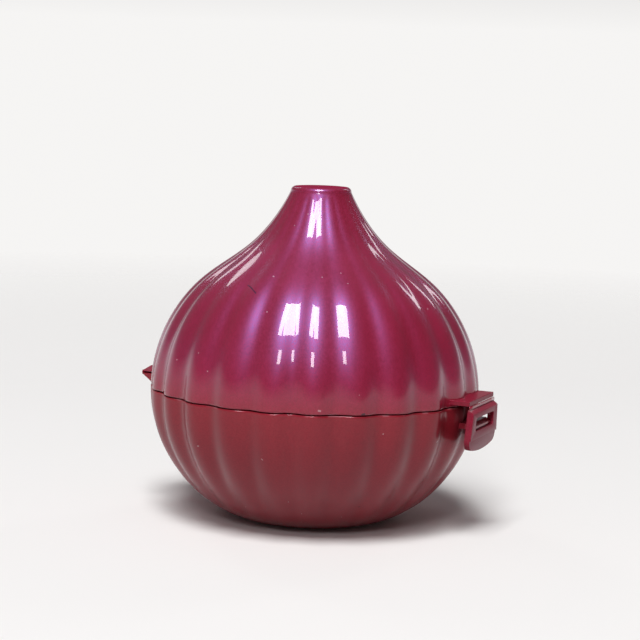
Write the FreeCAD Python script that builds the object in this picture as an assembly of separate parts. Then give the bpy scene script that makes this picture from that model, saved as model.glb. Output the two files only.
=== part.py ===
import FreeCAD, Part
import math
import os

from FreeCAD import Vector

# A hinged food keeper in the shape of an onion, moulded as one piece of polypropylene.
# A fluted bowl and a fluted lid with a closed neck fold about a thin film at the back.
# A flap hangs by a second film from a shelf on the lid and snaps over a catch on the bowl.
# Millimetres, +Z up, origin at the centre of the flat foot, clasp towards -Y, hinge towards +Y.

# Onion form, measured over the crests of the flutes
BODY_RADIUS = 57.3
BOWL_HEIGHT = 45.0
LID_HEIGHT = 70.7
FOOT_RADIUS = 20.0
NECK_RADIUS = 10.5
NECK_CORNER = 1.6
NECK_CORNER_BANDS = 3
WALL = 1.9

# Points of the crest line, as shares of the body radius and of the bowl's or the lid's height
BOWL_POINTS = [(0.661, 0.156), (0.846, 0.4), (0.975, 0.733)]
LID_POINTS = [(0.925, 0.283), (0.702, 0.537), (0.407, 0.721), (0.25, 0.877)]

# Flutes, with their valleys at the middle of the clasp and of the hinge
FLUTES = 24
FLUTE_DEPTH = 1.7
FLUTE_CHORDS = 4
FOOT_FADE_HEIGHT = 14.0
NECK_FADE_START = 34.0
NECK_SMOOTH_HEIGHT = 9.0
BOWL_BANDS = 6
LID_BANDS = 9

# Seam between bowl and lid, and the lip that centres the lid
SEAM = 0.4
LIP_HEIGHT = 2.2
LIP_ROOT = 3.6
LIP_WALL = 1.2
LIP_CLEARANCE = 0.4

# Film hinge at the back
HINGE_WIDTH = 20.0
HINGE_REACH = 5.0
HINGE_RISE = 1.75
HINGE_SLOT = 0.6
HINGE_NOSE = 0.5
HINGE_FILM = 0.4
HINGE_CREST_HEIGHT = 4.4
HINGE_CREST_REACH = 2.0
HINGE_GUSSET = 4.6
HINGE_CLEARANCE = 0.35

# Shelf on the lid that carries the flap
CLASP_WIDTH = 26.0
SHELF_REACH = 3.9
SHELF_RISE = 1.2
SHELF_THICKNESS = 1.65
SHELF_ROUNDING = 0.4

# Flap and its film
FLAP_FILM = 0.4
FLAP_FILM_HEIGHT = 1.2
FLAP_THICKNESS = 2.3
FLAP_NOSE = 0.5
FLAP_INNER_BEVEL = 0.15
FLAP_BEVEL = 1.15
FLAP_FRAME = 10.2
FLAP_LIP = 3.0
FLAP_BOW = 1.6
FLAP_LIP_STEP = 0.45
FLAP_LEAN = 2.6
FLAP_FLARE = 1.0
FLAP_CORNER = 3.5

# Window in the flap, and the catch on the bowl that fills its lower half
WINDOW_WIDTH = 19.0
WINDOW_HEIGHT = 4.5
WINDOW_DROP = 3.0
WINDOW_CORNER = 1.2
CATCH_SIDE_GAP = 1.0
CATCH_UNDER_GAP = 0.25
CATCH_ROOT = 1.95
CATCH_TIP = 0.9
CATCH_SLOPE = 1.3
CATCH_REACH = 1.4

SEAM_Z = BOWL_HEIGHT
LID_Z = SEAM_Z + SEAM
TOP_Z = BOWL_HEIGHT + LID_HEIGHT
INNER_VALLEY = BODY_RADIUS - FLUTE_DEPTH - WALL
LIP_OUTER = INNER_VALLEY - LIP_CLEARANCE
LIP_JOIN = BODY_RADIUS - (WALL + FLUTE_DEPTH) / 2
BLEND = 0.3
FLANGE_ROOT = math.sqrt(INNER_VALLEY ** 2 - (CLASP_WIDTH / 2) ** 2) - 1.0
SHELF_EDGE = BODY_RADIUS + SHELF_REACH
SHELF_Z = SEAM_Z + SHELF_RISE
FLAP_TOP = SHELF_Z - FLAP_FILM_HEIGHT
FLAP_FACE = SHELF_EDGE - FLAP_FILM / 2 - FLAP_NOSE / 2 - FLAP_INNER_BEVEL
HINGE_EDGE = BODY_RADIUS + HINGE_REACH
HINGE_Z = SEAM_Z + HINGE_RISE
WINDOW_FLOOR = WINDOW_DROP + WINDOW_HEIGHT


def crest_line():
    """Smooth line over the crests, from the edge of the foot to the top of the neck."""
    points = [Vector(FOOT_RADIUS, 0, 0)]
    for radius, height in BOWL_POINTS:
        points.append(Vector(radius * BODY_RADIUS, 0, height * BOWL_HEIGHT))
    points.append(Vector(BODY_RADIUS, 0, SEAM_Z))
    for radius, height in LID_POINTS:
        points.append(Vector(radius * BODY_RADIUS, 0, SEAM_Z + height * LID_HEIGHT))
    points.append(Vector(NECK_RADIUS, 0, TOP_Z - NECK_CORNER))
    line = Part.BSplineCurve()
    line.interpolate(points)
    return line


def place_at(line, height):
    """Parameter at which the rising crest line reaches a height."""
    low, high = line.FirstParameter, line.LastParameter
    for halving in range(50):
        middle = (low + high) / 2
        if line.value(middle).z < height:
            low = middle
        else:
            high = middle
    return low


def smooth_step(share):
    share = min(1.0, max(0.0, share))
    return share * share * (3 - 2 * share)


def flute_depth(radius, height):
    """Depth of a flute: in proportion to the radius, with none at the foot or on the neck."""
    above_foot = smooth_step(height / FOOT_FADE_HEIGHT)
    fade = NECK_FADE_START - NECK_SMOOTH_HEIGHT
    below_neck = smooth_step((TOP_Z - NECK_SMOOTH_HEIGHT - height) / fade)
    return FLUTE_DEPTH * radius / BODY_RADIUS * above_foot * below_neck


def fluted_section(crest, depth, height):
    """Closed section whose lobes run from valley to valley, with a valley at -Y."""
    corners = []
    count = FLUTES * FLUTE_CHORDS
    for index in range(count):
        turn = 2 * math.pi * index / count
        radius = crest - depth * (1 + math.cos(FLUTES * turn)) / 2
        corners.append(Vector(radius * math.sin(turn), -radius * math.cos(turn), height))
    corners.append(corners[0])
    return Part.makePolygon(corners)


def outer_sections(low, high, bands):
    """Sections of the outer skin between two heights of the crest line."""
    line = crest_line()
    first, last = place_at(line, low), place_at(line, high)
    sections = []
    for band in range(bands + 1):
        point = line.value(first + (last - first) * band / bands)
        depth = flute_depth(point.x, point.z)
        sections.append(fluted_section(point.x, depth, point.z))
    return sections


def hollow_sections(low, high, bands):
    """Sections a wall inside the crest line, with flutes in proportion to their radius throughout."""
    line = crest_line()
    first, last = place_at(line, low), place_at(line, high)
    sections = []
    for band in range(bands + 1):
        place = first + (last - first) * band / bands
        along = line.tangent(place)[0]
        point = line.value(place) + Vector(-along.z, 0, along.x) * WALL
        depth = FLUTE_DEPTH * point.x / BODY_RADIUS
        sections.append(fluted_section(point.x, depth, point.z))
    return sections


def fluted_solid(sections):
    return Part.makeLoft(sections, True, True)


def neck_corner_sections():
    """Plain round sections that turn the neck over into its flat top."""
    sections = []
    for step in range(1, NECK_CORNER_BANDS + 1):
        turn = math.pi / 2 * step / NECK_CORNER_BANDS
        radius = NECK_RADIUS - NECK_CORNER * (1 - math.cos(turn))
        height = TOP_Z - NECK_CORNER * (1 - math.sin(turn))
        sections.append(fluted_section(radius, 0.0, height))
    return sections


def block(low, high):
    """Slab wider than the onion between two heights."""
    reach = 2 * BODY_RADIUS
    return Part.makeBox(2 * reach, 2 * reach, high - low, Vector(-reach, -reach, low))


def across(width, corners):
    """Prism along X of a profile given as distances towards -Y and heights."""
    points = [Vector(-width / 2, -outward, height) for outward, height in corners]
    face = Part.Face(Part.makePolygon(points + points[:1]))
    return face.extrude(Vector(width, 0, 0))


def turned_to_back(shape):
    return shape.rotated(Vector(), Vector(0, 0, 1), 180)


def centring_lip():
    """Ring inside the bowl's rim that rises into the lid."""
    inner = LIP_OUTER - LIP_WALL
    profile = [
        (LIP_JOIN, SEAM_Z - LIP_ROOT),
        (inner, SEAM_Z - BLEND),
        (inner, SEAM_Z + LIP_HEIGHT),
        (LIP_OUTER, SEAM_Z + LIP_HEIGHT),
        (LIP_OUTER, SEAM_Z - BLEND),
        (LIP_JOIN, SEAM_Z - BLEND),
    ]
    points = [Vector(radius, 0, height) for radius, height in profile]
    face = Part.Face(Part.makePolygon(points + points[:1]))
    return face.revolve(Vector(), Vector(0, 0, 1), 360)


def lower_hinge_flange():
    """Gusset on the bowl that rises past the seam to the film."""
    top = HINGE_Z - HINGE_SLOT / 2
    clear = BODY_RADIUS + HINGE_CLEARANCE
    profile = [
        (FLANGE_ROOT, SEAM_Z),
        (clear, SEAM_Z),
        (clear, top),
        (HINGE_EDGE, top),
        (HINGE_EDGE, top - HINGE_NOSE),
        (LIP_JOIN, SEAM_Z - HINGE_GUSSET),
        (FLANGE_ROOT, SEAM_Z - HINGE_GUSSET),
    ]
    return turned_to_back(across(HINGE_WIDTH, profile))


def upper_hinge_flange():
    """Wedge on the lid that tapers outwards to the film."""
    bottom = HINGE_Z + HINGE_SLOT / 2
    crest = SEAM_Z + HINGE_CREST_HEIGHT
    profile = [
        (FLANGE_ROOT, bottom),
        (HINGE_EDGE, bottom),
        (HINGE_EDGE, bottom + HINGE_NOSE),
        (BODY_RADIUS + HINGE_CREST_REACH, crest),
        (FLANGE_ROOT, crest),
    ]
    return turned_to_back(across(HINGE_WIDTH, profile))


def catch():
    """Ledge on the bowl with a flat underside and a sloped nose that stands in the window."""
    under = FLAP_TOP - WINDOW_FLOOR + CATCH_UNDER_GAP
    lean = math.tan(math.radians(FLAP_LEAN)) * (FLAP_TOP - under)
    tip = FLAP_FACE - lean + CATCH_REACH
    profile = [
        (FLANGE_ROOT, under),
        (tip, under),
        (tip, under + CATCH_TIP),
        (tip - CATCH_SLOPE, under + CATCH_ROOT),
        (FLANGE_ROOT, under + CATCH_ROOT),
    ]
    return across(WINDOW_WIDTH - 2 * CATCH_SIDE_GAP, profile)


def shelf():
    """Plate on the lid, with its outer upper edge rounded."""
    profile = [
        (FLANGE_ROOT, SHELF_Z),
        (SHELF_EDGE, SHELF_Z),
        (SHELF_EDGE, SHELF_Z + SHELF_THICKNESS),
        (FLANGE_ROOT, SHELF_Z + SHELF_THICKNESS),
    ]
    plate = across(CLASP_WIDTH, profile)
    top = SHELF_Z + SHELF_THICKNESS
    edges = [e for e in plate.Edges if lies_at(e, -SHELF_EDGE, top)]
    return plate.makeFillet(SHELF_ROUNDING, edges)


def lies_at(edge, y, z):
    """True for an edge along X at the given place."""
    middle = edge.CenterOfMass
    return abs(middle.y - y) < 0.001 and abs(middle.z - z) < 0.001


def lower_shell():
    """Bowl with its centring lip, hinge flange and catch."""
    outer = fluted_solid(outer_sections(0.0, SEAM_Z, BOWL_BANDS))
    body = outer.fuse([lower_hinge_flange(), catch()])
    hollow = fluted_solid(hollow_sections(0.0, SEAM_Z + LIP_ROOT, BOWL_BANDS))
    hollow = hollow.common(block(WALL, TOP_Z))
    return body.cut(hollow).fuse(centring_lip())


def upper_shell():
    """Lid with its neck, the shelf for the flap and the upper hinge flange."""
    sections = outer_sections(LID_Z, TOP_Z - NECK_CORNER, LID_BANDS)
    outer = fluted_solid(sections + neck_corner_sections())
    body = outer.fuse([upper_hinge_flange(), shelf()])
    hollow = fluted_solid(hollow_sections(LID_Z - LIP_ROOT, TOP_Z, LID_BANDS))
    hollow = hollow.common(block(0.0, TOP_Z - WALL))
    return body.cut(hollow)


def lid_hinge_film():
    """Thin strip that joins the outer edges of the two hinge flanges."""
    low = HINGE_Z - HINGE_SLOT / 2 - HINGE_NOSE
    high = HINGE_Z + HINGE_SLOT / 2 + HINGE_NOSE
    strip = Part.makeBox(HINGE_WIDTH, HINGE_FILM, high - low, Vector(-HINGE_WIDTH / 2, HINGE_EDGE, low))
    edges = [e for e in strip.Edges if lies_at(e, HINGE_EDGE + HINGE_FILM, low)]
    edges += [e for e in strip.Edges if lies_at(e, HINGE_EDGE + HINGE_FILM, high)]
    return strip.makeFillet(HINGE_FILM * 0.9, edges)


def latch_hinge_film():
    """Thin strip between the shelf and the top of the flap."""
    corner = Vector(-CLASP_WIDTH / 2, -SHELF_EDGE, FLAP_TOP)
    return Part.makeBox(CLASP_WIDTH, FLAP_FILM, FLAP_FILM_HEIGHT, corner)


def flap_frame():
    """Upper part of the flap: bevelled nose at the film and a plate of even thickness."""
    nose = FLAP_FACE + FLAP_INNER_BEVEL
    outside = FLAP_FACE + FLAP_THICKNESS
    profile = [
        (FLAP_FACE, FLAP_TOP - FLAP_FRAME),
        (FLAP_FACE, FLAP_TOP - FLAP_BEVEL),
        (nose, FLAP_TOP),
        (nose + FLAP_NOSE, FLAP_TOP),
        (outside, FLAP_TOP - FLAP_BEVEL),
        (outside, FLAP_TOP - FLAP_FRAME),
    ]
    return across(CLASP_WIDTH + 2 * FLAP_FLARE, profile)


def flap_lip():
    """Thinner finger lip below the frame, with a bowed edge and round corners."""
    half = CLASP_WIDTH / 2 + FLAP_FLARE
    top = FLAP_TOP - FLAP_FRAME
    side = top - FLAP_LIP
    left, right = Vector(-half, 0, side), Vector(half, 0, side)
    lines = [
        Part.makeLine(Vector(-half, 0, top), left),
        Part.Arc(left, Vector(0, 0, side - FLAP_BOW), right).toShape(),
        Part.makeLine(right, Vector(half, 0, top)),
        Part.makeLine(Vector(half, 0, top), Vector(-half, 0, top)),
    ]
    plate = Part.Face(Part.Wire(lines)).extrude(Vector(0, -(FLAP_THICKNESS - FLAP_LIP_STEP), 0))
    corners = [e for e in plate.Edges if abs(e.CenterOfMass.z - side) < 0.001 and len(e.Vertexes) == 2]
    corners = [e for e in corners if abs(abs(e.CenterOfMass.x) - half) < 0.001]
    lip = plate.makeFillet(FLAP_CORNER, corners)
    return lip.translated(Vector(0, -FLAP_FACE, 0))


def window():
    """Through opening in the flap, with round corners."""
    depth = 3 * FLAP_THICKNESS
    corner = Vector(-WINDOW_WIDTH / 2, -FLAP_FACE - depth / 2, FLAP_TOP - WINDOW_FLOOR)
    hole = Part.makeBox(WINDOW_WIDTH, depth, WINDOW_HEIGHT, corner)
    edges = [e for e in hole.Edges if abs(e.tangentAt(e.FirstParameter).y) > 0.9]
    return hole.makeFillet(WINDOW_CORNER, edges)


def flap_sides():
    """Space between the flap's sides, which splay from the shoulder to the foot of the frame."""
    half = CLASP_WIDTH / 2
    shoulder = FLAP_TOP - FLAP_BEVEL
    foot = FLAP_TOP - FLAP_FRAME
    corners = [
        (half, FLAP_TOP),
        (half, shoulder),
        (half + FLAP_FLARE, foot),
        (half + FLAP_FLARE, foot - FLAP_LIP - FLAP_BOW),
    ]
    left = [(-x, z) for x, z in corners[::-1]]
    points = [Vector(x, 0, z) for x, z in corners + left]
    face = Part.Face(Part.makePolygon(points + points[:1]))
    return face.extrude(Vector(0, -2 * BODY_RADIUS, 0))


def latch_flap():
    """Flap that hangs from the shelf and leans inwards at its foot."""
    flap = flap_frame().common(flap_sides()).fuse(flap_lip()).cut(window()).removeSplitter()
    return flap.rotated(Vector(0, -FLAP_FACE, FLAP_TOP), Vector(1, 0, 0), FLAP_LEAN)


def main():
    os.makedirs("parts", exist_ok=True)
    nodes = {
        "lower_shell": lower_shell(),
        "upper_shell": upper_shell(),
        "lid_hinge_film": lid_hinge_film(),
        "latch_hinge_film": latch_hinge_film(),
        "latch_flap": latch_flap(),
    }
    for name, shape in nodes.items():
        print(name, shape.ShapeType, len(shape.Solids), shape.isValid(), round(shape.Volume, 1))
        shape.exportStep(f"parts/{name}.step")


main()
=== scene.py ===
import math

import bmesh
import bpy
import numpy as np
from mathutils import Matrix, Vector, noise


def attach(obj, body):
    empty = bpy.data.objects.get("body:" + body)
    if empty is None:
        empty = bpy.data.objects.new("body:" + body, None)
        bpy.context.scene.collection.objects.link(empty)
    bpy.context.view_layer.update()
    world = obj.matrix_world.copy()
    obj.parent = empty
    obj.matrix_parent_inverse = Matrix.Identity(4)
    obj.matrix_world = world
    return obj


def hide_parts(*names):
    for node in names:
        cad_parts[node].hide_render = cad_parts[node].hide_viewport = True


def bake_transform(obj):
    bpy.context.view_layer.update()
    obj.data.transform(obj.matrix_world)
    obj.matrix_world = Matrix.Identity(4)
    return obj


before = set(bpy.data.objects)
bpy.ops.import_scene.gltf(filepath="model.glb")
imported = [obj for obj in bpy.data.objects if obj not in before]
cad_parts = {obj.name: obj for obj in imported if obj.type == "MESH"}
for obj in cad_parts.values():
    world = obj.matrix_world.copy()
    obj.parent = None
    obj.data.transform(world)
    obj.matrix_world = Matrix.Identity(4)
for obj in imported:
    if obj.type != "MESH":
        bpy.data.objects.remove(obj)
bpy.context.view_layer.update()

# A hinged keeper in the shape of an onion, moulded in pearly plum plastic.
# Lengths in this part of the script are millimetres and are turned to metres by the mesh makers.
MM = 0.001

# Onion form over the crests of the flutes
BODY_RADIUS, BOWL_HEIGHT, LID_HEIGHT = 57.3, 45.0, 70.7
FOOT_RADIUS, NECK_RADIUS, NECK_CORNER, WALL = 20.0, 10.5, 1.6, 1.9
BOWL_POINTS = [(0.661, 0.156), (0.846, 0.4), (0.975, 0.733)]
LID_POINTS = [(0.925, 0.283), (0.702, 0.537), (0.407, 0.721), (0.25, 0.877)]

# Flutes, with their valleys at the middle of the clasp and of the hinge
FLUTES, FLUTE_DEPTH = 24, 1.7
FOOT_FADE_HEIGHT, NECK_FADE_START, NECK_SMOOTH_HEIGHT = 14.0, 34.0, 9.0
NECK_TRACE, NECK_PLAIN = 0.3, 3.0
SHOULDER_EASE, SHOULDER_START, SHOULDER_HEIGHT = 0.35, 3, 16.0
CREST_ROUNDING = 0.4

# Rows of the skins, outside and inside
ROUND_STEPS = FLUTES * 16
BOWL_ROWS, BOWL_INNER_ROWS = 70, 40
LID_ROWS, LID_INNER_ROWS, CORNER_ROWS = 110, 48, 8

# Gate under the foot, where the plastic was let in, and the edge of the foot
GATE_RADIUS, GATE_FLOOR_RADIUS, GATE_DEPTH = 3.2, 2.8, 0.4
STUB_ROOT_RADIUS, STUB_RADIUS, STUB_HEIGHT = 0.9, 0.8, 0.15
FOOT_EDGE, FOOT_SUPPORT, GATE_SUPPORT = 0.9, 1.3, 3.5

# Seam between bowl and lid
SEAM, RIM_ROUNDING, RIM_WAVE, RIM_WAVE_SCALE = 0.4, 0.28, 0.07, 0.16
BEND = 0.3  # place of the middle row of a rounded edge, as a share of the rounding
LIP_HEIGHT, LIP_WALL, LIP_CLEARANCE, LIP_ROOT = 2.2, 1.2, 0.4, 3.6

# Film hinge at the back
HINGE_WIDTH, HINGE_REACH, HINGE_RISE, HINGE_SLOT = 20.0, 5.0, 1.75, 0.6
HINGE_NOSE, HINGE_FILM, HINGE_CREST_HEIGHT, HINGE_CREST_REACH = 0.5, 0.4, 4.4, 2.0
HINGE_GUSSET, HINGE_CLEARANCE = 4.6, 0.35

# Shelf, film, flap and catch of the clasp
CLASP_WIDTH, SHELF_REACH, SHELF_RISE, SHELF_THICKNESS = 26.0, 3.9, 1.2, 1.65
FLAP_FILM, FLAP_FILM_HEIGHT, FLAP_NOSE, FLAP_INNER_BEVEL, FLAP_LEAN = 0.4, 1.2, 0.5, 0.15, 2.6
WINDOW_WIDTH, WINDOW_HEIGHT, WINDOW_DROP = 19.0, 4.5, 3.0
CATCH_SIDE_GAP, CATCH_UNDER_GAP, CATCH_ROOT, CATCH_TIP = 1.0, 0.25, 1.95, 0.9
CATCH_SLOPE, CATCH_REACH = 1.3, 1.4

# Roundings of the edges, and the depth in the wall at which bars end, as a share of the wall
SHELF_EDGE_ROUNDING, CATCH_EDGE_ROUNDING = 0.22, 0.15
HINGE_EDGE_ROUNDING, FLAP_EDGE_ROUNDING = 0.12, 0.18
WALL_SHARE = 0.55

# Camera: angles in degrees, height and distance in millimetres, focal length in pixels
CAMERA_AZIMUTH, CAMERA_PITCH, CAMERA_ROLL = -67.5, 7.0, 1.9
CAMERA_DISTANCE, CAMERA_HEIGHT, CAMERA_ASIDE = 690.0, 154.0, 1.04
FOCAL_PIXELS, PICTURE_PIXELS, SENSOR_MM = 1997.0, 640, 36.0

SEAM_Z = BOWL_HEIGHT
LID_Z = SEAM_Z + SEAM
TOP_Z = BOWL_HEIGHT + LID_HEIGHT
INNER_VALLEY = BODY_RADIUS - FLUTE_DEPTH - WALL
SHELF_EDGE = BODY_RADIUS + SHELF_REACH
SHELF_Z = SEAM_Z + SHELF_RISE
FLAP_TOP = SHELF_Z - FLAP_FILM_HEIGHT
FLAP_FACE = SHELF_EDGE - FLAP_FILM / 2 - FLAP_NOSE / 2 - FLAP_INNER_BEVEL
HINGE_EDGE = BODY_RADIUS + HINGE_REACH
HINGE_Z = SEAM_Z + HINGE_RISE


# Form of the onion


def smooth_line(points):
    """Cubic line through the points, spaced by the distances between them."""
    points = np.array(points, float)
    gaps = np.linalg.norm(np.diff(points, axis=0), axis=1)
    places = np.concatenate([[0.0], np.cumsum(gaps)])
    count = len(points)
    left, right = np.zeros((count, count)), np.zeros((count, 2))
    for end, near in ((0, slice(0, 4)), (count - 1, slice(count - 4, count))):
        left[end, end] = 1
        for axis in range(2):
            cubic = np.polyfit(places[near], points[near, axis], 3)
            right[end, axis] = np.polyval(np.polyder(cubic), places[end])
    for i in range(1, count - 1):
        before, after = gaps[i - 1], gaps[i]
        left[i, i - 1:i + 2] = 1 / before, 2 / before + 2 / after, 1 / after
        rise = (points[i] - points[i - 1]) / before**2 + (points[i + 1] - points[i]) / after**2
        right[i] = 3 * rise
    slopes = np.linalg.solve(left, right)

    def at(place):
        """Point on the line and its direction."""
        i = int(np.clip(np.searchsorted(places, place) - 1, 0, count - 2))
        gap = gaps[i]
        t = (place - places[i]) / gap
        a, b, ta, tb = points[i], points[i + 1], slopes[i] * gap, slopes[i + 1] * gap
        c2, c3 = 3 * (b - a) - 2 * ta - tb, 2 * (a - b) + ta + tb
        return a + ta * t + c2 * t**2 + c3 * t**3, (ta + 2 * c2 * t + 3 * c3 * t**2) / gap

    at.end = places[-1]
    return at


def crest_points():
    points = [(FOOT_RADIUS, 0.0)]
    points += [(r * BODY_RADIUS, z * BOWL_HEIGHT) for r, z in BOWL_POINTS]
    points.append((BODY_RADIUS, SEAM_Z))
    points += [(r * BODY_RADIUS, SEAM_Z + z * LID_HEIGHT) for r, z in LID_POINTS]
    return points + [(NECK_RADIUS, TOP_Z - NECK_CORNER)]


crest_line = smooth_line(crest_points())


def place_at(height):
    """Place on the crest line at a height."""
    low, high = 0.0, crest_line.end
    for halving in range(40):
        middle = (low + high) / 2
        if crest_line(middle)[0][1] < height:
            low = middle
        else:
            high = middle
    return low


def smooth_step(share):
    share = min(1.0, max(0.0, share))
    return share * share * (3 - 2 * share)


def flute_depth(radius, height):
    """Depth of the flutes, shallower over the shoulder and only a trace up the neck."""
    above_foot = smooth_step(height / FOOT_FADE_HEIGHT)
    fade = NECK_FADE_START - NECK_SMOOTH_HEIGHT
    below_neck = smooth_step((TOP_Z - NECK_SMOOTH_HEIGHT - height) / fade)
    trace = NECK_TRACE * smooth_step((TOP_Z - NECK_CORNER - height) / NECK_PLAIN)
    ease = 1 - SHOULDER_EASE * smooth_step((height - SEAM_Z - SHOULDER_START) / SHOULDER_HEIGHT)
    return FLUTE_DEPTH * radius / BODY_RADIUS * above_foot * max(below_neck * ease, trace)


def flute_share(turn):
    """Share of the flute's depth at a turn, with round crests and narrower valleys."""
    share = (1 + math.cos(FLUTES * turn)) / 2
    return share * (1 - CREST_ROUNDING + CREST_ROUNDING * share)


def fluted_rings(low, high, steps, inset=0.0):
    """Rings (radius, flute depth, height) along the crest line, set in from it evenly."""
    first, last = place_at(low), place_at(high)
    rings = []
    for step in range(steps + 1):
        point, along = crest_line(first + (last - first) * step / steps)
        along = along / np.linalg.norm(along)
        depth = flute_depth(*point)
        rings.append((point[0] - along[1] * inset, depth, point[1] + along[0] * inset))
    return rings


def skin_point(turn, height):
    """Point on the outside of the onion in metres, for a turn from the middle of the clasp."""
    radius, height = crest_line(place_at(height))[0]
    radius -= flute_depth(radius, height) * flute_share(turn)
    return Vector((radius * math.sin(turn), -radius * math.cos(turn), height)) * MM


def radius_at(height, x, inset=0.0):
    """Radius of the fluted skin at a height, on the side of the clasp, x away from its middle."""
    radius, height = crest_line(place_at(height))[0]
    turn = math.asin(max(-1.0, min(1.0, x / radius)))
    return radius - inset - flute_depth(radius, height) * flute_share(turn)


# Mesh makers


def new_piece(name, verts, faces):
    mesh = bpy.data.meshes.new(name)
    mesh.from_pydata([Vector(v) * MM for v in verts], [], faces)
    mesh.validate()
    piece = bpy.data.objects.new(name, mesh)
    bpy.context.scene.collection.objects.link(piece)
    return piece


def smoothed(piece):
    piece.data.polygons.foreach_set("use_smooth", [True] * len(piece.data.polygons))
    return piece


def ring_points(radius, depth, height, wave=0.0):
    points = []
    for step in range(ROUND_STEPS):
        turn = 2 * math.pi * step / ROUND_STEPS
        out = radius - depth * flute_share(turn)
        x, y = out * math.sin(turn), -out * math.cos(turn)
        rise = wave * noise.noise(Vector((x, y, 0)) * RIM_WAVE_SCALE) if wave else 0.0
        points.append((x, y, height + rise))
    return points


def turned_skin(name, rings, closed_ends):
    """Surface through rings (radius, depth, height, wave) with a point at each closed end."""
    verts, faces = [], []
    for ring in rings:
        verts += ring_points(*ring)
    for row in range(len(rings) - 1):
        for step in range(ROUND_STEPS):
            a, b = row * ROUND_STEPS + step, row * ROUND_STEPS + (step + 1) % ROUND_STEPS
            faces.append((a, b, b + ROUND_STEPS, a + ROUND_STEPS))
    for row, height in closed_ends:
        centre = len(verts)
        verts.append((0.0, 0.0, height))
        for step in range(ROUND_STEPS):
            a, b = row * ROUND_STEPS + step, row * ROUND_STEPS + (step + 1) % ROUND_STEPS
            faces.append((a, b, centre) if row else (b, a, centre))
    return smoothed(new_piece(name, verts, faces))


def rim_rings(ring, inward, up):
    """Three rings that round a rim between the skin and the flat of the rim."""
    radius, depth, height = ring
    lift = RIM_ROUNDING * up
    return [
        (radius, depth, height + lift),
        (radius - inward * RIM_ROUNDING * BEND, depth, height + lift * BEND, RIM_WAVE),
        (radius - inward * RIM_ROUNDING, depth, height, RIM_WAVE),
    ]


def bowl_shell():
    """Bowl: closed skin from the middle of its floor, over the rim and out to the foot."""
    outer = fluted_rings(0.0, SEAM_Z, BOWL_ROWS)
    inner = fluted_rings(0.6, SEAM_Z, BOWL_INNER_ROWS, WALL)
    inner = [ring for ring in inner if ring[2] > WALL + 0.3]
    edge = inner[0][0]
    bottom = [(4.0, 0.0, WALL), (edge - 1.5, 0.0, WALL), (edge - 0.5, 0.0, WALL + 0.08)]
    flat = (FOOT_RADIUS - FOOT_EDGE, FOOT_RADIUS - FOOT_SUPPORT, GATE_SUPPORT, GATE_RADIUS)
    foot = [(radius, 0.0, 0.0) for radius in flat]
    foot += [(radius, 0.0, GATE_DEPTH) for radius in (GATE_FLOOR_RADIUS, STUB_ROOT_RADIUS)]
    foot.append((STUB_RADIUS, 0.0, STUB_HEIGHT))
    rim_out, rim_in = rim_rings(outer[-1], 1, -1), rim_rings(inner[-1], -1, -1)
    rings = bottom + inner[:-1] + rim_in + rim_out[::-1] + outer[1:-1][::-1] + foot
    return turned_skin("onion_bowl", rings, [(0, WALL), (len(rings) - 1, STUB_HEIGHT)])


def lid_shell():
    """Lid: closed skin from the top of its hollow, round the rim and up to the flat of the neck."""
    outer = fluted_rings(LID_Z, TOP_Z - NECK_CORNER, LID_ROWS)
    inner = fluted_rings(LID_Z, TOP_Z - WALL - 0.4, LID_INNER_ROWS, WALL)
    inner = [ring for ring in inner if LID_Z + 0.5 < ring[2] < TOP_Z - WALL - 0.2]
    inner.insert(0, (inner[0][0] - 0.02, inner[0][1], LID_Z))
    roof = [(4.0, 0.0, TOP_Z - WALL), (inner[-1][0] - 0.4, 0.0, TOP_Z - WALL)]
    corner = []
    for step in range(1, CORNER_ROWS + 1):
        turn = math.pi / 2 * step / CORNER_ROWS
        radius = NECK_RADIUS - NECK_CORNER * (1 - math.cos(turn))
        corner.append((radius, 0.0, TOP_Z - NECK_CORNER * (1 - math.sin(turn))))
    corner += [(6.0, 0.0, TOP_Z), (3.0, 0.0, TOP_Z)]
    rim_in, rim_out = rim_rings(inner[0], -1, 1), rim_rings(outer[0], 1, 1)
    rings = roof + inner[1:][::-1] + rim_in + rim_out[::-1] + outer[1:] + corner
    return turned_skin("onion_lid", rings, [(0, TOP_Z - WALL), (len(rings) - 1, TOP_Z)])


def centring_lip():
    """Ring inside the bowl's rim that rises into the lid."""
    outer, inner = INNER_VALLEY - LIP_CLEARANCE, INNER_VALLEY - LIP_CLEARANCE - LIP_WALL
    top, soft = SEAM_Z + LIP_HEIGHT, 0.3
    root = BODY_RADIUS - (WALL + FLUTE_DEPTH) / 2
    profile = [(root, SEAM_Z - LIP_ROOT), (inner + 0.1, SEAM_Z - 0.4), (inner, SEAM_Z)]
    profile += [(inner, top - soft), (inner + soft * BEND, top - soft * BEND)]
    profile += [(inner + soft, top), (outer - soft, top)]
    profile += [(outer - soft * BEND, top - soft * BEND), (outer, top - soft)]
    profile += [(outer, SEAM_Z - 0.2)]
    profile += [(root, SEAM_Z - 0.4)]
    rings = [(r, 0.0, z) for r, z in profile + profile[:1]]
    return turned_skin("centring_lip", rings, [])


def softened(piece, width, angle=25.0, segments=3):
    """Rounds the sharp edges of a piece and shades it smoothly."""
    bevel = piece.modifiers.new("rounding", "BEVEL")
    bevel.width, bevel.segments = width * MM, segments
    bevel.limit_method, bevel.angle_limit = "ANGLE", math.radians(angle)
    bevel.harden_normals = True
    return smoothed(piece)


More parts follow.
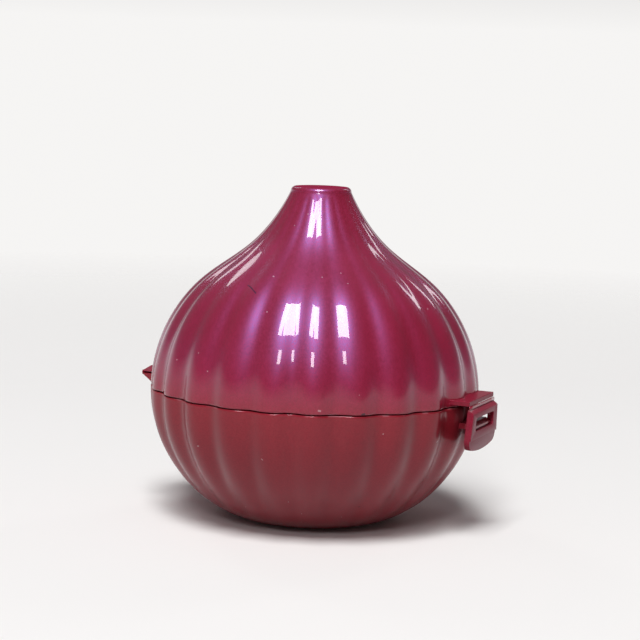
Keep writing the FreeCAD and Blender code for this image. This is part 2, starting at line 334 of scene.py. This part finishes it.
def across(name, width, profile, back=False, slices=27):
    """Bar along X of a profile (distance out, height); None for a distance means in the wall."""
    side = -1 if back else 1
    verts, faces = [], []
    count = len(profile)
    for step in range(slices):
        x = width * (step / (slices - 1) - 0.5)
        for out, height in profile:
            if out is None:
                skin = radius_at(height, x, WALL * WALL_SHARE)
                out = math.sqrt(skin**2 - x**2)
            verts.append((x * side, -out * side, height))
    for step in range(slices - 1):
        for i in range(count):
            a, b = step * count + i, step * count + (i + 1) % count
            faces.append((a, a + count, b + count, b))
    faces.append(tuple(range(count)))
    faces.append(tuple(range((slices - 1) * count, slices * count))[::-1])
    piece = new_piece(name, verts, faces)
    tidy = bmesh.new()
    tidy.from_mesh(piece.data)
    bmesh.ops.recalc_face_normals(tidy, faces=tidy.faces)
    tidy.to_mesh(piece.data)
    tidy.free()
    return piece


def shelf():
    top = SHELF_Z + SHELF_THICKNESS
    profile = [(None, SHELF_Z), (SHELF_EDGE, SHELF_Z), (SHELF_EDGE, top), (None, top)]
    return softened(across("clasp_shelf", CLASP_WIDTH, profile), SHELF_EDGE_ROUNDING)


def catch():
    under = FLAP_TOP - WINDOW_DROP - WINDOW_HEIGHT + CATCH_UNDER_GAP
    tip = FLAP_FACE - math.tan(math.radians(FLAP_LEAN)) * (FLAP_TOP - under) + CATCH_REACH
    profile = [(None, under), (tip, under), (tip, under + CATCH_TIP)]
    profile += [(tip - CATCH_SLOPE, under + CATCH_ROOT), (None, under + CATCH_ROOT)]
    bar = across("clasp_catch", WINDOW_WIDTH - 2 * CATCH_SIDE_GAP, profile)
    return softened(bar, CATCH_EDGE_ROUNDING)


def lower_hinge_flange():
    top, clear = HINGE_Z - HINGE_SLOT / 2, BODY_RADIUS + HINGE_CLEARANCE
    profile = [(None, SEAM_Z - 0.02), (clear, SEAM_Z), (clear, top), (HINGE_EDGE, top)]
    profile += [(HINGE_EDGE, top - HINGE_NOSE), (None, SEAM_Z - HINGE_GUSSET)]
    return softened(across("hinge_gusset", HINGE_WIDTH, profile, back=True), HINGE_EDGE_ROUNDING)


def upper_hinge_flange():
    bottom, crest = HINGE_Z + HINGE_SLOT / 2, SEAM_Z + HINGE_CREST_HEIGHT
    profile = [(None, bottom), (HINGE_EDGE, bottom), (HINGE_EDGE, bottom + HINGE_NOSE)]
    profile += [(BODY_RADIUS + HINGE_CREST_REACH, crest), (None, crest)]
    return softened(across("hinge_wedge", HINGE_WIDTH, profile, back=True), HINGE_EDGE_ROUNDING)


def moulded_copy(node, name, width):
    """Copy of a CAD solid with its flat faces whole and its edges rounded."""
    piece = bpy.data.objects.new(name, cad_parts[node].data.copy())
    bpy.context.scene.collection.objects.link(piece)
    tidy = bmesh.new()
    tidy.from_mesh(piece.data)
    bmesh.ops.remove_doubles(tidy, verts=tidy.verts, dist=0.000002)
    flat = math.radians(1.0)
    bmesh.ops.dissolve_limit(tidy, angle_limit=flat, verts=tidy.verts, edges=tidy.edges)
    tidy.to_mesh(piece.data)
    tidy.free()
    piece.data.materials.clear()
    return softened(piece, width, angle=30.0)


def film(name, width, out, low, high, thickness, back=False):
    """Thin strip with rounded corners, cut finely."""
    soft = thickness * 0.4
    heights = [low, low + soft * BEND, low + soft]
    heights += [low + soft + (high - low - 2 * soft) * i / 12 for i in range(1, 12)]
    heights += [high - soft, high - soft * BEND, high]
    shares = [(z - low) / (high - low) for z in heights]
    outer = [out + thickness * (0.5 + 0.5 * math.sin(math.pi * share) ** 0.6) for share in shares]
    profile = [(out, z) for z in heights[::-1]] + list(zip(outer, heights))
    return smoothed(across(name, width, profile, back=back, slices=9))


# Materials

# Scales of the noises and cells, from streaks to the grain of the moulded skin
FLOW_STRETCH = (1.0, 1.0, 0.22)
STREAK_SCALE, CLOUD_SCALE, FLAKE_SCALE, GRAIN_SCALE = 90.0, 28.0, 2600.0, 5200.0
DUST_SCALE, DUST_SIZE, DUST_RARITY, WEAR_SCALE = 420.0, 0.1, 0.95, 260.0
BUMP_STRENGTH, BUMP_DEPTH = 0.06, 0.00012
COAT_ROUGHNESS, COAT_IOR = 0.03, 1.55
PALE_MARK, DARK_MARK_AND_SHADE = (0.66, 0.44, 0.48, 1), (0.02, 0.002, 0.004, 1)
PAINTED_REFLECTION_TOP, GATE_RIM = 63.0, 0.12


class Value:
    """Socket of a shader that can be used in arithmetic."""

    def __init__(self, tree, socket):
        self.tree, self.socket = tree, socket

    def maths(self, operation, *values):
        return add_node(self.tree, "ShaderNodeMath", {"operation": operation}, values)

    def __add__(self, other):
        return self.maths("ADD", self, other)

    def __mul__(self, other):
        return self.maths("MULTIPLY", self, other)

    def __sub__(self, other):
        return self.maths("SUBTRACT", self, other)

    def __rsub__(self, other):
        return self.maths("SUBTRACT", other, self)

    def __gt__(self, other):
        return self.maths("GREATER_THAN", self, other)

    def __lt__(self, other):
        return self.maths("LESS_THAN", self, other)

    __radd__, __rmul__ = __add__, __mul__

    def within(self, low, high):
        """0 below low, 1 above high and a straight rise between."""
        return add_node(self.tree, "ShaderNodeMapRange", {}, {0: self, 1: low, 2: high})

    def most(self, other):
        return self.maths("MAXIMUM", self, other)


def add_node(tree, kind, settings, values, output=0):
    """Node of a type: its settings are set first, then the values or links of its sockets."""
    node = tree.nodes.new(kind)
    for key, value in settings.items():
        setattr(node, key, value)
    sockets = values.items() if isinstance(values, dict) else enumerate(values)
    for key, value in sockets:
        if isinstance(value, Value):
            tree.links.new(value.socket, node.inputs[key])
        else:
            node.inputs[key].default_value = value
    return Value(tree, node.outputs[output])


def mixed(tree, share, one, other):
    """Colour between two colours."""
    return add_node(tree, "ShaderNodeMix", {"data_type": "RGBA"}, {0: share, 6: one, 7: other}, 2)


def noise_value(tree, place, scale, detail=2.0):
    values = {"Vector": place, "Scale": scale, "Detail": detail}
    return add_node(tree, "ShaderNodeTexNoise", {}, values)


def vector_maths(tree, operation, values, output="Vector"):
    return add_node(tree, "ShaderNodeVectorMath", {"operation": operation}, values, output)


def stroke(tree, place, start, end, width):
    """1 within a width of the line between two points and 0 elsewhere."""
    along = end - start
    offset = vector_maths(tree, "SUBTRACT", [place, start])
    share = vector_maths(tree, "DOT_PRODUCT", [offset, along], "Value")
    share = share.within(0, along.length_squared)
    shares = add_node(tree, "ShaderNodeCombineXYZ", {}, [share] * 3)
    step = vector_maths(tree, "MULTIPLY", [shares, along])
    apart = vector_maths(tree, "SUBTRACT", [offset, step])
    return vector_maths(tree, "LENGTH", [apart], "Value") < width * MM


def marks_on(tree, place, marks):
    """1 on each small mark: turn from the camera and height at both ends, and its width."""
    total = None
    for turn, height, end_turn, end_height, width in marks:
        ends = [(turn, height), (end_turn, end_height)]
        start, end = (skin_point(math.radians(CAMERA_AZIMUTH + t), z) for t, z in ends)
        mark = stroke(tree, place, start, end, width)
        total = mark if total is None else total.most(mark)
    return total


def painted_shade_behind_flap(tree, place):
    """Rises to 1 on the side of the bowl that the flap covers, where the colour is darkened as
    painted shade and the gloss is taken off.
    """
    place = add_node(tree, "ShaderNodeSeparateXYZ", {}, [place])
    across_x, out_y, level = (Value(tree, socket) for socket in place.socket.node.outputs)
    aside = 1 - across_x.maths("ABSOLUTE", across_x).within(0.009, 0.0145)
    near = (out_y > -0.0585) * (out_y < -0.045)
    return aside * near * level.within(0.03, 0.037) * (level < SEAM_Z * MM)


def flakes(tree, place, scale, output):
    return add_node(tree, "ShaderNodeTexVoronoi", {}, {"Vector": place, "Scale": scale}, output)


def new_material(name):
    material = bpy.data.materials.new(name)
    material.use_nodes = True
    tree = material.node_tree
    shader = tree.nodes["Principled BSDF"]
    place = add_node(tree, "ShaderNodeTexCoord", {}, {}, "Object")
    return material, tree, shader, place


def link(tree, value, shader, socket):
    tree.links.new(value.socket, shader.inputs[socket])


def mixed_shaders(tree, share, one, other):
    return add_node(tree, "ShaderNodeMixShader", {}, [share, one, other])


def glossy_plastic(tree, varied, sheen, index, level):
    """Plastic under a thin clear gloss; its sheen colours what it reflects."""
    constants = {"IOR": index, "Specular IOR Level": level, "Specular Tint": sheen}
    constants.update({"Coat Roughness": COAT_ROUGHNESS, "Coat IOR": COAT_IOR})
    return add_node(tree, "ShaderNodeBsdfPrincipled", {}, {**varied, **constants})


def pearl_plastic(name, deep, bright, sheens, coat, pale_marks, dark_marks):
    """Glossy plastic full of fine pearl flakes, with flow streaks, dust and small marks.

    The first sheen shows at the height of the seam and the last one above the height where the
    blend ends. A duller first sheen is a painted brown reflection low on the lid.
    """
    material, tree, shader, place = new_material(name)
    tree.nodes.remove(shader)
    flow = add_node(tree, "ShaderNodeMapping", {}, {"Vector": place, "Scale": FLOW_STRETCH})
    streaks = noise_value(tree, flow, STREAK_SCALE, 4.0)
    cloud = noise_value(tree, place, CLOUD_SCALE, 3.0)
    flake = flakes(tree, place, FLAKE_SCALE, "Color")
    split = add_node(tree, "ShaderNodeSeparateColor", {}, [flake])
    grain = noise_value(tree, place, GRAIN_SCALE, 1.0)
    share = streaks * 0.4 + cloud * 0.3 + split * 0.3
    body = mixed(tree, share.within(0.3, 0.72), deep, bright)

    speck = flakes(tree, place, DUST_SCALE, "Distance") < DUST_SIZE
    cell = flakes(tree, place, DUST_SCALE, "Color")
    picked = add_node(tree, "ShaderNodeSeparateColor", {}, [cell]) > DUST_RARITY
    level = add_node(tree, "ShaderNodeSeparateXYZ", {}, [place], "Z")
    seam = level.maths("ABSOLUTE", level - (SEAM_Z + SEAM / 2) * MM)
    rubbed = noise_value(tree, place, WEAR_SCALE, 3.0).within(0.5, 0.62)
    wear = (1 - seam.within(0.0002, 0.0007)) * rubbed
    painted_flap_shade = painted_shade_behind_flap(tree, place)
    pale = (speck * picked).most(marks_on(tree, place, pale_marks))
    colour = mixed(tree, pale * 0.55 + wear * 0.25, body, PALE_MARK)
    # Dark marks, and behind the flap a painted shade that darkens the colour.
    dark = (marks_on(tree, place, dark_marks) * 0.85).most(painted_flap_shade * 0.25)
    colour = mixed(tree, dark, colour, DARK_MARK_AND_SHADE)
    rough = split * 0.1 + streaks * 0.06 + 0.33 + pale * 0.3 + wear * 0.1
    height = grain * 0.5 + cloud * 0.5 + pale * 0.6
    relief = {"Strength": BUMP_STRENGTH, "Distance": BUMP_DEPTH, "Height": height}
    varied = {
        "Base Color": colour,
        "Metallic": (split * 0.14 + 0.02 + cloud * 0.06) * (1 - pale * 0.6),
        "Roughness": rough.most(painted_flap_shade * 0.7),
        "Coat Weight": (1 - pale * 0.5 - wear * 0.3).within(0, 1) * (1 - painted_flap_shade) * coat,
        "Normal": add_node(tree, "ShaderNodeBump", {}, relief),
    }
    surface = glossy_plastic(tree, varied, *sheens[0])
    # Low on the lid a duller sheen is blended in with height: a painted brown reflection that fades
    # out upwards.
    if len(sheens) > 1:
        risen = level.within(SEAM_Z * MM, PAINTED_REFLECTION_TOP * MM)
        surface = mixed_shaders(tree, risen, surface, glossy_plastic(tree, varied, *sheens[1]))
        on_top = level > (TOP_Z - GATE_RIM) * MM
        surface = mixed_shaders(tree, on_top, surface, matte_gate(tree, place))
    tree.links.new(surface.socket, tree.nodes["Material Output"].inputs["Surface"])
    return material


def matte_gate(tree, place):
    """The flat top of the neck, where the plastic was let in, has no gloss."""
    shade = noise_value(tree, place, 700.0, 3.0)
    colour = mixed(tree, shade, (0.22, 0.015, 0.045, 1), (0.31, 0.026, 0.07, 1))
    return add_node(tree, "ShaderNodeBsdfDiffuse", {}, [colour])


# Assembly

# Marks: turn from the camera in degrees and height in millimetres at both ends, and width
LID_PALE_MARKS = [
    (1.6, 46.9, 2.1, 46.8, 0.3),
    (-55.0, 94.6, -54.6, 94.5, 0.22),
    (-58.7, 87.2, -58.5, 87.0, 0.25),
    (-25.6, 87.2, -25.2, 87.1, 0.22),
]
LID_DARK_MARKS = [
    (-37.3, 83.9, -34.5, 83.4, 0.18),
    (-34.5, 83.4, -29.6, 81.9, 0.22),
    (15.9, 45.8, 16.6, 45.9, 0.35),
]
BOWL_PALE_MARKS = [
    (-43.7, 30.8, -43.2, 30.9, 0.25),
    (-17.6, 29.5, -17.2, 29.3, 0.22),
    (47.2, 34.5, 47.8, 34.9, 0.25),
]
BOWL_DARK_MARKS = [(22.0, 12.0, 22.6, 12.2, 0.2)]

# Sheens: colour of the reflections, index of refraction and level
# The duller rose sheen is a painted brown reflection, used low on the lid and on the bowl.
DULL_SHEEN_PAINTED_REFLECTION = ((0.7, 0.36, 0.6, 1), 1.5, 0.3)
VIOLET = ((0.32, 0.33, 1.0, 1), 2.15, 0.5)
SATIN = ((0.7, 0.36, 0.7, 1), 1.4, 0.12)
plum = pearl_plastic(
    "plum_pearl_plastic", (0.25, 0.007, 0.02, 1), (0.36, 0.013, 0.042, 1), [DULL_SHEEN_PAINTED_REFLECTION, VIOLET], 0.8,
    LID_PALE_MARKS, LID_DARK_MARKS,
)
# The bowl's plastic is the lid's with a darker, browner base and the duller sheen: painted shade
# and a painted brown reflection from below. Its dust and marks are its own.
plum_with_painted_shade = pearl_plastic(
    "plum_pearl_plastic_painted_shade", (0.23, 0.012, 0.021, 1), (0.31, 0.018, 0.03, 1), [DULL_SHEEN_PAINTED_REFLECTION], 0.45,
    BOWL_PALE_MARKS, BOWL_DARK_MARKS,
)
satin = pearl_plastic(
    "satin_clasp_plastic", (0.22, 0.012, 0.03, 1), (0.3, 0.02, 0.045, 1), [SATIN], 0.2,
    BOWL_PALE_MARKS, BOWL_DARK_MARKS,
)
colours = {"bowl": plum_with_painted_shade, "lid": plum, "flap": satin}

pieces = {
    "bowl": [bowl_shell(), centring_lip(), catch(), lower_hinge_flange()],
    "lid": [lid_shell(), shelf(), upper_hinge_flange()],
    "flap": [moulded_copy("latch_flap", "clasp_flap", FLAP_EDGE_ROUNDING)],
}
carries = {"bowl": "lower_shell", "lid": "upper_shell", "flap": "latch_flap"}
for body, members in pieces.items():
    for piece in members:
        piece.data.materials.append(satin if piece.name == "clasp_shelf" else colours[body])
        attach(piece, body)
        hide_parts(carries[body])

slot_low, slot_high = HINGE_Z - HINGE_SLOT / 2, HINGE_Z + HINGE_SLOT / 2
low, high = slot_low - HINGE_NOSE, slot_high + HINGE_NOSE
hinge_film = film("hinge_film", HINGE_WIDTH, HINGE_EDGE, low, high, HINGE_FILM, back=True)
clasp_film = film("clasp_film", CLASP_WIDTH, SHELF_EDGE, FLAP_TOP, SHELF_Z, FLAP_FILM)
films = [
    (hinge_film, "lid_hinge_film", "bowl", "lid", HINGE_EDGE, slot_low, slot_high),
    (clasp_film, "latch_hinge_film", "lid", "flap", -SHELF_EDGE, SHELF_Z, FLAP_TOP),
]
for piece, node, first, second, y, start, end in films:
    piece.data.materials.append(plum if first == "lid" else plum_with_painted_shade)
    y * MM
    start * MM
    y * MM
    end * MM
    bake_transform(piece)
    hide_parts(node)


# Camera, floor and light

# Lamps stand at this distance in metres from a point at this height over the floor
LAMP_DISTANCE, LAMP_AIM = 5.0, 0.06
SOFT_LIGHT_GROUND = (0.4, 0.36, 0.33, 1)
PALE_HORIZON = (0.92, 0.91, 0.9, 1)
ROOM_WALL, DARK_WALL = (0.13, 0.12, 0.13, 1), (0.05, 0.04, 0.035, 1)


def place_camera():
    """Camera at the photograph's place, aim and roll."""
    turn, pitch, roll = (math.radians(a) for a in (CAMERA_AZIMUTH, CAMERA_PITCH, CAMERA_ROLL))
    out = Vector((math.sin(turn), -math.cos(turn), 0))
    right = Vector((-out.y, out.x, 0))
    ahead = -out * math.cos(pitch) + Vector((0, 0, -math.sin(pitch)))
    above = right.cross(ahead)
    side = right * math.cos(roll) + above * math.sin(roll)
    up = above * math.cos(roll) - right * math.sin(roll)
    camera = bpy.data.objects.new("camera", bpy.data.cameras.new("camera"))
    camera.data.sensor_width = SENSOR_MM
    camera.data.lens = FOCAL_PIXELS / PICTURE_PIXELS * SENSOR_MM
    camera.data.clip_start = 0.01
    place = (out * CAMERA_DISTANCE + right * CAMERA_ASIDE + Vector((0, 0, CAMERA_HEIGHT))) * MM
    turned = Matrix((side, up, -ahead)).transposed().to_4x4()
    camera.matrix_world = Matrix.Translation(place) @ turned
    bpy.context.scene.collection.objects.link(camera)
    bpy.context.scene.camera = camera
    return out, right


def add_lamp(name, out, right, height_angle, side_angle, size, power, colour=(1, 1, 1)):
    """Area lamp that faces the onion, at angles from the camera's side and above the floor."""
    rise, swing = math.radians(height_angle), math.radians(side_angle)
    level = out * math.cos(swing) + right * math.sin(swing)
    way = level * math.cos(rise) + Vector((0, 0, math.sin(rise)))
    lamp = bpy.data.objects.new(name, bpy.data.lights.new(name, "AREA"))
    lamp.data.shape = "RECTANGLE"
    lamp.data.size, lamp.data.size_y = size
    lamp.data.energy, lamp.data.color = power, colour
    lamp.location = Vector((0, 0, LAMP_AIM)) + way * LAMP_DISTANCE
    lamp.rotation_euler = way.to_track_quat("Z", "Y").to_euler()
    bpy.context.scene.collection.objects.link(lamp)


def seen(tree):
    """1 for rays that show the surroundings and 0 for those that only carry soft light."""
    rays = add_node(tree, "ShaderNodeLightPath", {}, {}, "Is Camera Ray")
    for name in ("Is Glossy Ray", "Is Transmission Ray"):
        rays = rays.most(add_node(tree, "ShaderNodeLightPath", {}, {}, name))
    return rays


def floor():
    """Pale floor with a soft edge that passes into the pale room."""
    bpy.ops.mesh.primitive_circle_add(vertices=128, radius=3.0, fill_type="NGON")
    ground = bpy.context.object
    ground.name = "floor"
    material, tree, shader, place = new_material("floor_paint")
    shade = noise_value(tree, place, 3.0)
    pale = mixed(tree, shade, (0.86, 0.85, 0.83, 1), (0.89, 0.88, 0.86, 1))
    link(tree, mixed(tree, seen(tree), SOFT_LIGHT_GROUND, pale), shader, "Base Color")
    reach = vector_maths(tree, "LENGTH", [place], "Value")
    link(tree, 1 - reach.within(0.3, 1.0), shader, "Alpha")
    shader.inputs["Roughness"].default_value = 0.75
    shader.inputs["Specular IOR Level"].default_value = 0.1
    ground.data.materials.append(material)


def surroundings(right):
    """Soft room light: pale near the floor, greyer overhead and darker on the right."""
    world = bpy.data.worlds.new("room")
    bpy.context.scene.world = world
    world.use_nodes = True
    tree = world.node_tree
    place = add_node(tree, "ShaderNodeTexCoord", {}, {}, "Generated")
    height = add_node(tree, "ShaderNodeSeparateXYZ", {}, [place], "Z")
    aside = vector_maths(tree, "DOT_PRODUCT", [place, tuple(right)], "Value")
    low = mixed(tree, seen(tree), SOFT_LIGHT_GROUND, PALE_HORIZON)
    wall = mixed(tree, height.within(0.025, 0.2), low, ROOM_WALL)
    shade = aside.within(0.3, 0.75) * height.within(0.02, 0.1)
    colour = mixed(tree, shade * 0.8, wall, DARK_WALL)
    tree.links.new(colour.socket, tree.nodes["Background"].inputs["Color"])


out, right = place_camera()
floor()
surroundings(right)
for side in (-23.0, -1.0):
    add_lamp("window_pane", out, right, 62.5, side, (0.95, 2.4), 124.0, (0.98, 0.99, 1.0))
add_lamp("low_window_pane", out, right, 33.0, -10.0, (0.8, 0.95), 36.0, (1.0, 0.98, 1.0))
add_lamp("right_softbox", out, right, 30.0, 142.0, (0.5, 1.4), 9.0)
add_lamp("left_softbox", out, right, 34.0, -150.0, (0.5, 1.6), 8.0)

bpy.context.scene.view_settings.view_transform = "Standard"
